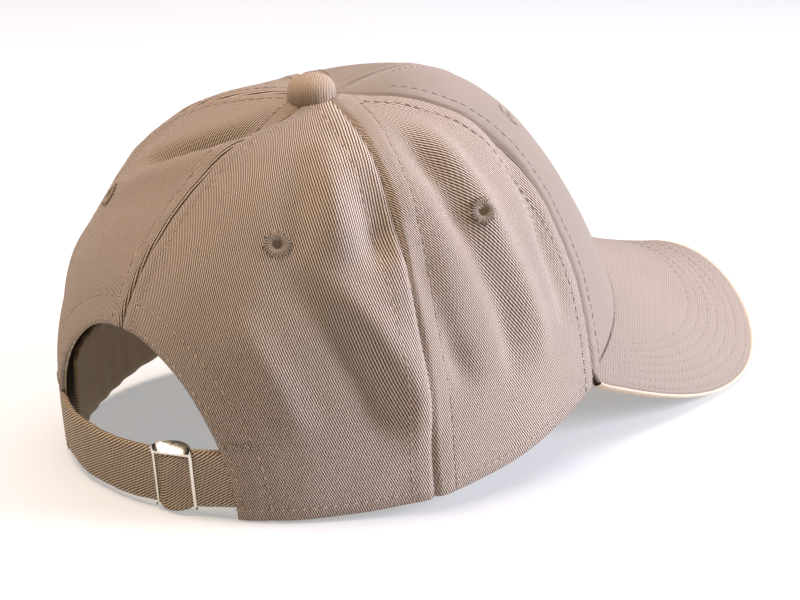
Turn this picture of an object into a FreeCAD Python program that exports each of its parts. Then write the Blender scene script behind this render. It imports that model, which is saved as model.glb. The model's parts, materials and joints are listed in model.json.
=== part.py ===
import FreeCAD
import Part
import Sketcher
import math
import os

# A six-panel cap with a curved visor and a strap with a slide buckle across the back opening.
# Everything is drawn level, with the button axis on Z and the visor towards -Y,
# and is then tipped back to the angle at which the cap rests on its visor and rear hem.
sizes = {
    "hemHalfWidth": 77.5,
    "hemFront": 120,
    "hemBack": 96,
    "hemHeightFront": 30,
    "hemHeightSide": 2.5,
    "hemHeightBack": 10,
    "crownTop": 114,
    "topSetback": 4.5,
    "topLean": -13,
    "reachFront": 0.61,
    "reachSide": 0.76,
    "reachBack": 1.11,
    "riseFront": 2.3,
    "riseSide": 0.71,
    "riseBack": 0.765,
    "seamFrontSide": 63,
    "seamRearSide": 109,
    "panelThick": 1.0,
    "buckramThick": 0.5,
    "buckramStart": 0.05,
    "buckramEnd": 0.93,
    "buckramMargin": 0.6,
    "tapeThick": 0.6,
    "tapeHalfWidth": 7,
    "tapeStart": 0.08,
    "tapeEnd": 0.90,
    "tapeWidest": 24,
    "tapeClear": 3,
    "layerGap": 0.1,
    "topHole": 3.6,
    "archHalfWidth": 39.5,
    "archBase": 10.5,
    "archRise": 52.5,
    "facingWide": 9,
    "facingThick": 0.7,
    "facingStart": 128,
    "facingEnd": 179.7,
    "bandTall": 30,
    "bandThick": 1.0,
    "bandInset": 2.6,
    "bandInsetRear": 5.6,
    "bandEnd": 145,
    "bandLift": 1.5,
    "bandStepStart": 95,
    "bandStepWide": 30,
    "visorHalfWidth": 69.4,
    "visorLong": 76,
    "visorMiddle": 60.5,
    "visorSquareness": 0.72,
    "visorSlope": 0.537,
    "visorArchRadius": 40,
    "boardThick": 2.0,
    "coverThick": 0.8,
    "eyeletRadius": 3.3,
    "eyeletThread": 0.9,
    "buttonRadius": 7.6,
    "buttonTall": 4.6,
    "buttonFabric": 0.7,
    "buttonMetal": 0.4,
    "buttonLift": 0.4,
    "rivetRadius": 1.1,
    "rivetLong": 7,
    "washerRadius": 4.5,
    "washerThick": 0.8,
    "strapWide": 17.5,
    "strapThick": 1.4,
    "strapRadius": 62,
    "strapBottom": 12,
    "strapHalfAngle": 49,
    "strapInset": 2.8,
    "returnThick": 1.2,
    "returnAngle": 18,
    "slideGap": 0.35,
    "buckleLong": 13.2,
    "buckleBar": 0.95,
    "buckleBelly": 6.6,
    "railThick": 1.2,
    "buckleAngle": 20.4,
    "tackLong": 12,
    "tackWide": 1.8,
    "tackThick": 0.8,
    "tackAround": 146,
    "tackLift": 23.5,
    "tackStand": 0.35,
    "restTilt": 10.05,
    "boxTolerance": 0.02,
}

doc = FreeCAD.newDocument("baseball_cap")
sheet = doc.addObject("Spreadsheet::Sheet", "Sizes")
for row, (alias, value) in enumerate(sizes.items(), 1):
    sheet.set(f"A{row}", alias)
    sheet.set(f"B{row}", str(value))
    sheet.setAlias(f"B{row}", alias)
doc.recompute()
d = {alias: float(sheet.get(alias)) for alias in sizes}

vector = FreeCAD.Vector
up = vector(0, 0, 1)
nodes = []


def steps(low, high, count):
    return [low + (high - low) * i / (count - 1) for i in range(count)]


# Crown surface: "around" is in degrees from the front towards the wearer's left,
# and "climb" runs from 0 at the hem to 1 at the button.


def byDirection(around, name):
    turn = math.cos(math.radians(around))
    share = turn * turn
    end = d[name + "Front"] if turn > 0 else d[name + "Back"]
    return d[name + "Side"] + (end - d[name + "Side"]) * share


def visorHeight(x, forward):
    # The visor is a sheet bent about one line: it arches across and falls away evenly forwards.
    arch = x * x / (2 * d["visorArchRadius"])
    return d["hemHeightFront"] - arch - d["visorSlope"] * (forward - d["hemFront"])


def hemHeight(around):
    # The front hem follows the visor, and eases down to the level sides behind its corners.
    angle = math.radians(around)
    turn = math.cos(angle)
    corner = math.radians(d["seamFrontSide"])
    if turn >= math.cos(corner):
        return visorHeight(d["hemHalfWidth"] * math.sin(angle), d["hemFront"] * turn)
    if turn > 0:
        share = turn / math.cos(corner)
        share = share * share * (3 - 2 * share)
        top = visorHeight(d["hemHalfWidth"] * math.sin(corner), d["hemFront"] * math.cos(corner))
        return d["hemHeightSide"] + (top - d["hemHeightSide"]) * share
    return d["hemHeightSide"] + (d["hemHeightBack"] - d["hemHeightSide"]) * turn * turn


def climbAt(around, height):
    share = height / (d["crownTop"] - hemHeight(around))
    return math.asin(share ** (1 / byDirection(around, "rise"))) * 2 / math.pi


def topClimb(around):
    # The climb at which the crown comes to the small hole round the button's rivet.
    angle = math.radians(around)
    long = d["hemFront"] if math.cos(angle) > 0 else d["hemBack"]
    wide = math.hypot(d["hemHalfWidth"] * math.sin(angle), long * math.cos(angle))
    share = (d["topHole"] / wide) ** (1 / byDirection(around, "reach"))
    return math.acos(share) * 2 / math.pi


def crownPoint(around, climb):
    angle = math.radians(around)
    lift = climb * math.pi / 2
    reach = math.cos(lift) ** byDirection(around, "reach")
    rise = math.sin(lift) ** byDirection(around, "rise")
    long = d["hemFront"] if math.cos(angle) > 0 else d["hemBack"]
    hem = hemHeight(around)
    return vector(
        d["hemHalfWidth"] * math.sin(angle) * reach + d["topLean"] * (1 - reach),
        -long * math.cos(angle) * reach + d["topSetback"] * (1 - reach),
        hem + (d["crownTop"] - hem) * rise,
    )


def crownSpot(around, climb, inset):
    nudge = 0.01
    sideways = crownPoint(around + 1, climb) - crownPoint(around - 1, climb)
    low = max(min(climb, 1 - 2 * nudge) - nudge, 0)
    upwards = crownPoint(around, low + 2 * nudge) - crownPoint(around, low)
    outward = sideways.cross(upwards).normalize()
    return crownPoint(around, climb) - outward * inset


# A slab is a closed solid between two grids of points: two smooth faces and four ruled sides.


def slab(outer, inner):
    faces = []
    skins = []
    for grid in (outer, inner):
        skin = Part.BSplineSurface()
        skin.interpolate(grid)
        skins.append(skin)
        faces.append(skin.toShape())
    first, last = skins
    low_u, high_u, low_v, high_v = first.bounds()
    for end in (low_u, high_u):
        faces.append(Part.makeRuledSurface(first.uIso(end).toShape(), last.uIso(end).toShape()))
    for end in (low_v, high_v):
        faces.append(Part.makeRuledSurface(first.vIso(end).toShape(), last.vIso(end).toShape()))
    shell = Part.makeShell(faces)
    shell.sewShape()
    solid = Part.makeSolid(shell)
    if solid.Volume < 0:
        solid.reverse()
    return solid


def crownSlab(lanes, climbs, outerInset, innerInset):
    # lanes(climb) gives the directions of one row of the grid.
    rows = []
    for inset in (outerInset, innerInset):
        rows.append([[crownSpot(around, climb, inset) for around in lanes(climb)] for climb in climbs])
    return slab(*rows)


def feature(label, shape):
    piece = doc.addObject("Part::Feature", label)
    piece.Label = label
    piece.Shape = shape
    nodes.append(piece)
    return piece


def archTool(grow):
    # The round-topped back opening, as a prism through the rear of the crown.
    wide = d["archHalfWidth"] + grow
    rise = d["archRise"] + grow
    ellipse = Part.Ellipse(vector(0, rise, 0), vector(wide, 0, 0), vector(0, 0, 0))
    face = Part.Face(Part.Wire(ellipse.toShape()))
    tall = face.extrude(vector(0, 0, 120))
    tall.rotate(vector(0, 0, 0), vector(1, 0, 0), -90)
    tall.rotate(vector(0, 0, 0), vector(0, 1, 0), 180)
    tall.translate(vector(0, 20, d["archBase"]))
    leg = Part.makeBox(2 * wide, 120, 60, vector(-wide, 20, d["archBase"] - 60))
    return tall.fuse(leg)


# The six eyelets sit at the middle of the panels, two thirds of the way up.
eyelets = {
    "front_left": (36.5, 79),
    "front_right": (-36.5, 79),
    "side_left": (84, 82.5),
    "side_right": (-84, 82.5),
    "rear_left": (140.5, 81),
    "rear_right": (-140.5, 81),
}


def eyeletPlace(name, inset):
    around, height = eyelets[name]
    climb = climbAt(around, height)
    centre = crownSpot(around, climb, inset)
    outward = (crownSpot(around, climb, 0) - crownSpot(around, climb, 1)).normalize()
    return FreeCAD.Placement(centre, FreeCAD.Rotation(up, outward))


panelSpans = {
    "front": (0, d["seamFrontSide"]),
    "side": (d["seamFrontSide"], d["seamRearSide"]),
    "rear": (d["seamRearSide"], 180),
}
# Their rows stand closer together at the hem and at the top, where the crown bends most.
shares = [(1 - math.cos(math.pi * step)) / 2 for step in steps(0, 1, 19)]
for side, way in (("left", 1), ("right", -1)):
    for panel, (near, far) in panelSpans.items():
        rows = []
        lanes = [(lane, topClimb(lane)) for lane in steps(way * near, way * far, 9)]
        for inset in (0, d["panelThick"]):
            rows.append([[crownSpot(lane, share * top, inset) for lane, top in lanes] for share in shares])
        solid = slab(*rows)
        place = eyeletPlace(f"{panel}_{side}", d["panelThick"] / 2)
        hole = Part.makeCylinder(d["eyeletRadius"] + d["eyeletThread"], 12, vector(0, 0, -6))
        hole.Placement = place
        solid = solid.cut(hole)
        if panel == "rear":
            solid = solid.cut(archTool(0))
        feature(f"{panel}_panel_{side}", solid)

# Stiff buckram backs the two front panels.
behindPanel = d["panelThick"] + d["layerGap"]
for side, way in (("left", 1), ("right", -1)):
    inner = behindPanel + d["buckramThick"]
    solid = crownSlab(
        lambda climb: steps(way * d["buckramMargin"], way * (d["seamFrontSide"] - d["buckramMargin"]), 9),
        steps(d["buckramStart"], d["buckramEnd"], 13),
        behindPanel,
        inner,
    )
    hole = Part.makeCylinder(d["eyeletRadius"] + d["eyeletThread"], 12, vector(0, 0, -6))
    hole.Placement = eyeletPlace(f"front_{side}", d["panelThick"] / 2)
    feature(f"buckram_{side}", solid.cut(hole))


def tapeLanes(seam):
    def lanes(climb):
        centre = crownPoint(seam, climb)
        reach = math.hypot(centre.x - d["topLean"], centre.y - d["topSetback"])
        half = min(math.degrees(d["tapeHalfWidth"] / max(reach, 1)), d["tapeWidest"])
        return steps(seam - half, seam + half, 5)

    return lanes


# Tapes cover the raw edges of the six seams on the inside.
behindBuckram = behindPanel + d["buckramThick"] + d["layerGap"]
aboveFacing = climbAt(180, d["archRise"] + d["facingWide"] + d["tapeClear"])
seams = {
    "front": (0, d["tapeStart"], behindBuckram),
    "front_left": (d["seamFrontSide"], d["tapeStart"], behindBuckram),
    "front_right": (-d["seamFrontSide"], d["tapeStart"], behindBuckram),
    "rear_left": (d["seamRearSide"], d["tapeStart"], behindPanel),
    "rear_right": (-d["seamRearSide"], d["tapeStart"], behindPanel),
    "back": (180, aboveFacing, behindPanel),
}
for name, (seam, start, outerInset) in seams.items():
    climbs = steps(start, d["tapeEnd"], 11)
    solid = crownSlab(tapeLanes(seam), climbs, outerInset, outerInset + d["tapeThick"])
    feature(f"seam_tape_{name}", solid)

# A facing strip is sewn inside the edge of the back opening, in two halves.
aboveFacing = climbAt(180, d["archRise"] + 2 * d["facingWide"])
for side, way in (("left", 1), ("right", -1)):
    solid = crownSlab(
        lambda climb: steps(way * d["facingStart"], way * d["facingEnd"], 9),
        steps(0, aboveFacing, 9),
        behindPanel,
        behindPanel + d["facingThick"],
    )
    solid = solid.common(archTool(d["facingWide"])).cut(archTool(0))
    feature(f"opening_facing_{side}", solid)


# The sweatband runs round the inside of the hem and stands further in beside the strap's channel.
def bandRow(height, inset):
    row = []
    for around in steps(-d["bandEnd"], d["bandEnd"], 41):
        share = min(max((abs(around) - d["bandStepStart"]) / d["bandStepWide"], 0), 1)
        share = share * share * (3 - 2 * share)
        deeper = inset + (d["bandInsetRear"] - d["bandInset"]) * share
        row.append(crownSpot(around, climbAt(around, height), deeper))
    return row


bandHeights = steps(d["bandLift"], d["bandTall"], 6)
feature(
    "sweatband",
    slab(
        [bandRow(height, d["bandInset"]) for height in bandHeights],
        [bandRow(height, d["bandInset"] + d["bandThick"]) for height in bandHeights],
    ),
)


# Visor surface: "across" is -1 to 1 from the wearer's right corner to the left one,
# and "out" is 0 at the crown to 1 at the outer edge.


def visorPlan(across, out):
    around = across * d["seamFrontSide"]
    root = crownPoint(around, 0)
    corner = crownPoint(d["seamFrontSide"], 0)
    cornerAngle = math.pi - math.asin(corner.x / d["visorHalfWidth"])
    angle = across * cornerAngle
    x = d["visorHalfWidth"] * math.copysign(abs(math.sin(angle)) ** d["visorSquareness"], across)
    if abs(angle) > math.pi / 2:
        x = d["visorHalfWidth"] * math.sin(angle)
        long = (d["visorMiddle"] + corner.y) / abs(math.cos(cornerAngle))
        forward = d["visorMiddle"] + long * math.cos(angle)
    else:
        long = d["hemFront"] + d["visorLong"] - d["visorMiddle"]
        forward = d["visorMiddle"] + long * math.cos(angle) ** d["visorSquareness"]
    return root.x + (x - root.x) * out, -root.y + (forward + root.y) * out


def visorSpot(across, out, lift):
    x, forward = visorPlan(across, out)
    span = 0.5
    left = visorHeight(x - span, forward) - visorHeight(x + span, forward)
    slope = visorHeight(x, forward + span) - visorHeight(x, forward - span)
    outward = vector(left / (2 * span), slope / (2 * span), 1).normalize()
    return vector(x, -forward, visorHeight(x, forward)) + outward * lift


def visorLayer(top, thick, edge):
    across = steps(-0.995, 0.995, 35)
    out = steps(0.01, edge, 9)
    return slab(
        [[visorSpot(a, o, top) for a in across] for o in out],
        [[visorSpot(a, o, top - thick) for a in across] for o in out],
    )


boardTop = d["boardThick"] / 2
feature("visor_board", visorLayer(boardTop, d["boardThick"], 0.97))
feature("visor_top_cover", visorLayer(boardTop + d["layerGap"] + d["coverThick"], d["coverThick"], 1.0))
feature("visor_under_cover", visorLayer(-boardTop - d["layerGap"], d["coverThick"], 1.0))

# Sewn eyelets: a ring of thread in each panel.
for name in eyelets:
    ring = doc.addObject("Part::Torus", f"eyelet_{name}")
    ring.Label = f"eyelet_{name}"
    ring.setExpression("Radius1", "Sizes.eyeletRadius")
    ring.setExpression("Radius2", "Sizes.eyeletThread")
    ring.Placement = eyeletPlace(name, d["panelThick"] / 2)
    nodes.append(ring)


def dome(name, radius, tall):
    shape = doc.addObject("Part::Ellipsoid", name)
    shape.setExpression("Radius1", tall)
    shape.setExpression("Radius2", radius)
    shape.setExpression("Radius3", radius)
    shape.Angle1 = 0
    shape.Angle2 = 90
    return shape


def combine(kind, label, base, tool):
    result = doc.addObject(kind, label)
    result.Label = label
    result.Base = base
    result.Tool = tool
    nodes.append(result)
    return result


# The button: a fabric cover over a metal shell, riveted through the crown.
top = vector(d["topLean"], d["topSetback"], d["crownTop"] + d["buttonLift"])
crownSeat = FreeCAD.Placement(top, FreeCAD.Rotation())
radius = "Sizes.buttonRadius"
tall = "Sizes.buttonTall"
fabric = "Sizes.buttonFabric"
metal = "Sizes.buttonMetal"
cover = combine(
    "Part::Cut",
    "button_cover",
    dome("CoverOutside", radius, tall),
    dome("CoverInside", f"{radius} - {fabric}", f"{tall} - {fabric}"),
)
cup = combine(
    "Part::Cut",
    "button_shell",
    dome("CupOutside", f"{radius} - {fabric} - 0.05", f"{tall} - {fabric} - 0.05"),
    dome("CupInside", f"{radius} - {fabric} - {metal} - 0.05", f"{tall} - {fabric} - {metal} - 0.05"),
)
shank = doc.addObject("Part::Cylinder", "RivetShank")
shank.setExpression("Radius", "Sizes.rivetRadius")
shank.setExpression("Height", "Sizes.rivetLong")
shank.Placement = FreeCAD.Placement(vector(0, 0, d["buttonTall"] - 1.4 - d["rivetLong"]), FreeCAD.Rotation())
washer = doc.addObject("Part::Cylinder", "RivetWasher")
washer.setExpression("Radius", "Sizes.washerRadius")
washer.setExpression("Height", "Sizes.washerThick")
washer.Placement = shank.Placement
rivet = combine("Part::Fuse", "button_rivet", shank, washer)
for piece in (cover, cup, rivet):
    piece.Placement = crownSeat

# The strap lies on an arc about an upright axis, so that the buckle can travel along it.
strapMiddle = d["hemBack"] - d["strapInset"] - d["strapThick"] - d["strapRadius"]
strapAxis = vector(0, strapMiddle, d["strapBottom"])


def arcBand(label, innerRadius, outerRadius, startAngle, sweep):
    pair = []
    for name, radiusWords in (("Outside", outerRadius), ("Inside", innerRadius)):
        drum = doc.addObject("Part::Cylinder", label + name)
        drum.setExpression("Radius", radiusWords)
        drum.setExpression("Height", "Sizes.strapWide")
        pair.append(drum)
    pair[0].setExpression("Angle", sweep)
    band = combine("Part::Cut", label, *pair)
    turn = FreeCAD.Rotation(up, startAngle)
    band.Placement = FreeCAD.Placement(strapAxis, turn)
    return band


inside = "Sizes.strapRadius"
outside = f"{inside} + Sizes.strapThick"
arcBand("strap", inside, outside, 90 - d["strapHalfAngle"], "2 * Sizes.strapHalfAngle")
returnOutside = f"{inside} - Sizes.slideGap"
barShare = math.degrees((d["buckleBar"] + 0.1) / d["strapRadius"])
arcBand(
    "strap_return",
    f"{returnOutside} - Sizes.returnThick",
    returnOutside,
    90 + d["buckleAngle"] + barShare,
    "Sizes.returnAngle",
)

# The slide buckle: two end bars outside the strap, a middle bar inside it, and a rail above and below.
buckle = doc.addObject("PartDesign::Body", "slide_buckle")
buckle.Label = "slide_buckle"


def levelSketch(name, height):
    sketch = buckle.newObject("Sketcher::SketchObject", name)
    plane = next(f for f in buckle.Origin.OriginFeatures if f.Role == "XY_Plane")
    sketch.AttachmentSupport = [(plane, "")]
    sketch.MapMode = "FlatFace"
    sketch.setExpression("AttachmentOffset.Base.z", height)
    return sketch


def pad(name, sketch, length):
    step = buckle.newObject("PartDesign::Pad", name)
    step.Profile = sketch
    step.setExpression("Length", length)
    return step


# Along the buckle is X, outward from the head is Y, and Y is 0 at the middle of the strap.
halfLong = d["buckleLong"] / 2
chordY = d["strapThick"] / 2 + d["slideGap"] + 2 * d["buckleBar"]
bellyY = chordY - d["buckleBelly"]
barY = chordY - d["buckleBar"]
middleY = -d["strapThick"] / 2 - d["slideGap"] - d["buckleBar"]


def railOutline(sketch):
    left = vector(-halfLong, chordY, 0)
    right = vector(halfLong, chordY, 0)
    chord = sketch.addGeometry(Part.LineSegment(left, right), False)
    arc = sketch.addGeometry(Part.Arc(right, vector(0, bellyY, 0), left), False)
    sketch.addConstraint(Sketcher.Constraint("Coincident", chord, 2, arc, 2))
    sketch.addConstraint(Sketcher.Constraint("Coincident", chord, 1, arc, 1))
    sketch.addConstraint(Sketcher.Constraint("Horizontal", chord))
    wide = sketch.addConstraint(Sketcher.Constraint("DistanceX", chord, 1, chord, 2, 2 * halfLong))
    sketch.renameConstraint(wide, "railLong")
    sketch.setExpression("Constraints.railLong", "Sizes.buckleLong")


def barOutlines(sketch):
    for x, y in ((-halfLong + d["buckleBar"], barY), (0, middleY), (halfLong - d["buckleBar"], barY)):
        ring = sketch.addGeometry(Part.Circle(vector(x, y, 0), up, d["buckleBar"]), False)
        thick = sketch.addConstraint(Sketcher.Constraint("Radius", ring, d["buckleBar"]))
        sketch.renameConstraint(thick, f"bar{ring}")
        sketch.setExpression(f"Constraints.bar{ring}", "Sizes.buckleBar")


lowRail = levelSketch("LowRailSketch", "-Sizes.slideGap - Sizes.railThick")
railOutline(lowRail)
pad("LowRail", lowRail, "Sizes.railThick")
bars = levelSketch("BarSketch", "-Sizes.slideGap - Sizes.railThick / 2")
barOutlines(bars)
pad("Bars", bars, "Sizes.strapWide + 2 * Sizes.slideGap + Sizes.railThick")
highRail = levelSketch("HighRailSketch", "Sizes.strapWide + Sizes.slideGap")
railOutline(highRail)
pad("HighRail", highRail, "Sizes.railThick")
buckleTurn = FreeCAD.Rotation(up, d["buckleAngle"])
toStrap = buckleTurn.multVec(vector(0, d["strapRadius"] + d["strapThick"] / 2, 0))
buckle.Placement = FreeCAD.Placement(strapAxis + toStrap, buckleTurn)
nodes.append(buckle)

# Bar tacks reinforce the ends of the opening just above the strap.
for side, way in (("left", 1), ("right", -1)):
    tack = doc.addObject("Part::Box", f"bar_tack_{side}")
    tack.Label = f"bar_tack_{side}"
    tack.setExpression("Length", "Sizes.tackLong")
    tack.setExpression("Width", "Sizes.tackThick")
    tack.setExpression("Height", "Sizes.tackWide")
    around = way * d["tackAround"]
    climb = climbAt(around, d["tackLift"])
    centre = crownSpot(around, climb, -d["tackStand"])
    outward = crownSpot(around, climb, -1) - crownSpot(around, climb, 0)
    heading = math.degrees(math.atan2(outward.y, outward.x)) - 90
    turn = FreeCAD.Rotation(up, heading)
    start = turn.multVec(vector(-d["tackLong"] / 2, 0, -d["tackWide"] / 2))
    tack.Placement = FreeCAD.Placement(centre + start, turn)
    nodes.append(tack)

doc.recompute()

# Tip the cap back to its resting angle and put the middle of its footprint at the origin.
tilt = FreeCAD.Placement(vector(0, 0, 0), FreeCAD.Rotation(vector(1, 0, 0), -d["restTilt"]))
whole = FreeCAD.BoundBox()
for piece in nodes:
    tilted = piece.Shape.copy()
    tilted.Placement = tilt.multiply(tilted.Placement)
    for point in tilted.tessellate(d["boxTolerance"])[0]:
        whole.add(point)
centring = vector(-whole.Center.x, -whole.Center.y, -whole.ZMin)
rest = FreeCAD.Placement(centring, FreeCAD.Rotation()).multiply(tilt)
for piece in nodes:
    piece.Placement = rest.multiply(piece.Placement)
doc.recompute()

for item in doc.Objects:
    if "Invalid" in item.State or "Error" in item.State:
        raise RuntimeError(f"{item.Label} failed: {item.State}")
os.makedirs("parts", exist_ok=True)
for piece in nodes:
    shape = piece.Shape
    if shape.isNull() or not shape.isValid():
        raise RuntimeError(f"{piece.Label} has no valid shape")
    shape.exportStep(f"parts/{piece.Label}.step")
    box = shape.BoundBox
    print(
        f"{piece.Label}: {len(shape.Solids)} solid, volume {shape.Volume:.0f},"
        f" x {box.XMin:.1f} {box.XMax:.1f} y {box.YMin:.1f} {box.YMax:.1f} z {box.ZMin:.2f} {box.ZMax:.1f}"
    )
axis = rest.multVec(strapAxis)
heading = rest.Rotation.multVec(up)
along = f"{heading.x:.4f} {heading.y:.4f} {heading.z:.4f}"
print(f"strap axis at {axis.x:.3f} {axis.y:.3f} {axis.z:.3f} along {along}")
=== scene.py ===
import bpy
import bmesh
import json
import math
import numpy as np
from mathutils import Matrix, Vector


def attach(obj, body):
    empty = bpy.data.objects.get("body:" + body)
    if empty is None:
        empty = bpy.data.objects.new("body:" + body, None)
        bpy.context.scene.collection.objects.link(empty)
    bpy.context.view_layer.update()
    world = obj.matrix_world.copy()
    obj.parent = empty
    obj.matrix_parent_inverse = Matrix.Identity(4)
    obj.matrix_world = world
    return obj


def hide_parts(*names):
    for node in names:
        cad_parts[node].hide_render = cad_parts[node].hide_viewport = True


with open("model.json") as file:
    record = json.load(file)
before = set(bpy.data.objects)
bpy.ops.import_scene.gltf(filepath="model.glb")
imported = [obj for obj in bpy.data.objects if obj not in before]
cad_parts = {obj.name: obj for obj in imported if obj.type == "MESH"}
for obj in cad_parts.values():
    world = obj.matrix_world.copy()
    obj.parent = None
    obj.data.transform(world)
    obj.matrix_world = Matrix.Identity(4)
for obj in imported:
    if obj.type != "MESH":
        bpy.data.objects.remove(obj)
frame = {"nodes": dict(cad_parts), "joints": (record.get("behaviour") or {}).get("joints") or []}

scene = bpy.context.scene
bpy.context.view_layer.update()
joint = next(j for j in frame["joints"] if j["name"] == "buckle_slide")
mm = 0.001

# The cap is drawn level, with the button axis on Z, then tipped back on its visor and rear hem.
# The strap's axis is a known point of the level cap, and the joint says where it is at rest.
level = dict(strapRadius=0.062, strapThick=0.0014, strapInset=0.0028, strapBottom=0.012)

crown = dict(
    halfWidth=0.0775, front=0.120, back=0.096,
    hemFront=0.030, hemSide=0.0025, hemBack=0.010,
    top=0.114, lean=-0.013, setback=0.0045,
    reach=(0.61, 0.76, 1.11), rise=(2.3, 0.71, 0.765),  # front, side, back
    seamFront=63.0, seamRear=109.0, cloth=0.0009, topHole=0.0036,
)
arch = dict(halfWidth=0.0395, base=0.0105, rise=0.0525)
visor = dict(
    halfWidth=0.0694, long=0.076, middle=0.0605, squareness=0.72,
    slope=0.537, archRadius=0.040, board=0.0020, gap=0.0001, cover=0.0008,
    dip=0.0085, dipReach=0.063, tuck=0.0022,
)

axisAhead = crown["back"] - level["strapInset"] - level["strapThick"] - level["strapRadius"]
strapAxis = Vector((0, axisAhead, level["strapBottom"]))
tiltAngle = math.atan2(joint["axis"][1], joint["axis"][2])
tilt = Matrix.Rotation(-tiltAngle, 4, "X")
origin = Vector(joint["pos_m"]) - tilt @ strapAxis
toRest = Matrix.Translation(origin) @ tilt


# Crown surface: around in degrees from the front towards +X, climb 0 at the hem to 1 at the button.
def byDirection(around, three):
    turn = np.cos(np.radians(around))
    end = np.where(turn > 0, three[0], three[2])
    return three[1] + (end - three[1]) * turn * turn


def visorHeight(x, forward):
    # The worn visor sits flatter where its middle meets the crown, and keeps its shape at the rim.
    ahead = np.clip((forward - crown["front"]) / visor["long"], 0, 1)
    dip = visor["dip"] * np.clip(1 - (x / visor["dipReach"]) ** 2, 0, 1) ** 1.3 * (1 - ahead ** 2)
    arched = crown["hemFront"] - x * x / (2 * visor["archRadius"])
    return arched - visor["slope"] * (forward - crown["front"]) - dip


def hemHeight(around):
    angle = np.radians(around)
    turn = np.cos(angle)
    corner = math.radians(crown["seamFront"])
    onVisor = visorHeight(crown["halfWidth"] * np.sin(angle), crown["front"] * turn)
    atCorner = visorHeight(crown["halfWidth"] * math.sin(corner), crown["front"] * math.cos(corner))
    share = np.clip(turn / math.cos(corner), 0, 1)
    share = share * share * (3 - 2 * share)
    eased = crown["hemSide"] + (atCorner - crown["hemSide"]) * share
    rear = crown["hemSide"] + (crown["hemBack"] - crown["hemSide"]) * turn * turn
    return np.where(turn >= math.cos(corner), onVisor, np.where(turn > 0, eased, rear))


def climbAt(around, height):
    share = np.clip(height / (crown["top"] - hemHeight(around)), 0, 0.9999)
    return np.arcsin(share ** (1 / byDirection(around, crown["rise"]))) * 2 / math.pi


def topClimb(around):
    # The climb at which the crown comes to the small hole under the button.
    angle = np.radians(around)
    long = np.where(np.cos(angle) > 0, crown["front"], crown["back"])
    wide = np.hypot(crown["halfWidth"] * np.sin(angle), long * np.cos(angle))
    return np.arccos((crown["topHole"] / wide) ** (1 / byDirection(around, crown["reach"]))) * 2 / math.pi


def smoothForm(around, climb):
    around, climb = np.broadcast_arrays(np.asarray(around, float), np.asarray(climb, float))
    angle = np.radians(around)
    lift = np.clip(climb, 0, 0.9995) * math.pi / 2
    reach = np.cos(lift) ** byDirection(around, crown["reach"])
    rise = np.sin(lift) ** byDirection(around, crown["rise"])
    long = np.where(np.cos(angle) > 0, crown["front"], crown["back"])
    hem = hemHeight(around)
    return np.stack([
        crown["halfWidth"] * np.sin(angle) * reach + crown["lean"] * (1 - reach),
        -long * np.cos(angle) * reach + crown["setback"] * (1 - reach),
        hem + (crown["top"] - hem) * rise,
    ], -1)


def outwardAt(form, around, climb):
    sideways = form(around + 0.6, climb) - form(around - 0.6, climb)
    low = np.maximum(np.minimum(climb, 0.988) - 0.006, 0.0)
    upwards = form(around, low + 0.012) - form(around, low)
    out = np.cross(sideways, upwards)
    return out / np.maximum(np.linalg.norm(out, axis=-1, keepdims=True), 1e-12)


# Creases in the worn cloth: a path of (around, height in mm), how wide and how deep in mm.
# A positive depth stands out, a negative one goes in.
creaseStrength = 1.85
creases = [
    ([(178, 103), (164, 99), (150, 96), (138, 91)], 4.0, -2.6),
    ([(176, 97), (162, 92), (148, 87), (138, 80)], 6.0, 1.2),
    ([(-93, 105), (-93, 94), (-92, 76), (-88, 50), (-87, 31)], 5.0, -1.7),
    ([(-84, 105), (-85, 92), (-85, 74), (-82, 50), (-80, 30)], 6.0, 1.8),
    ([(-64, 92), (-68, 76), (-71, 56), (-71, 32)], 5.0, -1.8),
    ([(-104, 86), (-105, 67), (-102, 46), (-99, 34)], 5.0, -1.6),
    ([(-115, 96), (-114, 84), (-115, 76)], 6.0, -2.2),
    ([(-126, 103), (-125, 92), (-124, 80)], 6.5, 1.6),
    ([(-126, 70), (-117, 55), (-112, 39), (-111, 24)], 6.5, 2.0),
    ([(-137, 74), (-126, 58), (-121, 42), (-118, 26)], 6.0, -1.8),
    ([(-136, 99), (-134, 90), (-135, 78)], 5.0, -1.0),
    ([(-147, 60), (-140, 46), (-134, 28)], 6.0, 1.2),
    ([(92, 100), (94, 80), (97, 55)], 6.0, -1.6),
    ([(76, 98), (74, 74), (74, 46)], 6.0, -1.4),
    ([(84, 100), (85, 76), (86, 46)], 7.0, 1.4),
    ([(120, 98), (124, 76), (124, 50), (122, 28)], 6.0, -1.5),
    ([(132, 66), (128, 46), (126, 26)], 6.0, 1.4),
]


def creaseSamples():
    spots, widths, weights = [], [], []
    for path, width, depth in creases:
        path = np.array(path, float)
        run = np.linspace(0, len(path) - 1, 6 * len(path))
        around = np.interp(run, range(len(path)), path[:, 0])
        height = np.interp(run, range(len(path)), path[:, 1]) * mm
        line = smoothForm(around, climbAt(around, height))
        step = np.linalg.norm(np.diff(line, axis=0), axis=1).mean()
        taper = np.sin(np.pi * (run + 0.35) / (len(path) - 0.3)) ** 0.6
        spots.append(line)
        widths.append(np.full(len(run), width * mm))
        weights.append(creaseStrength * depth * mm * taper * step / (width * mm * math.sqrt(math.pi)))
    return np.concatenate(spots), np.concatenate(widths), np.concatenate(weights)


creaseSpots, creaseWidths, creaseWeights = creaseSamples()
waves = np.random.default_rng(7)
waveTurns = waves.normal(size=(14, 3)) * np.array([70, 70, 38]) * waves.uniform(0.6, 2.1, (14, 1))
wavePhases = waves.uniform(0, 2 * math.pi, 14)
waveSizes = 0.55 * mm / (1 + np.linalg.norm(waveTurns, axis=1) / 110)

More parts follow.
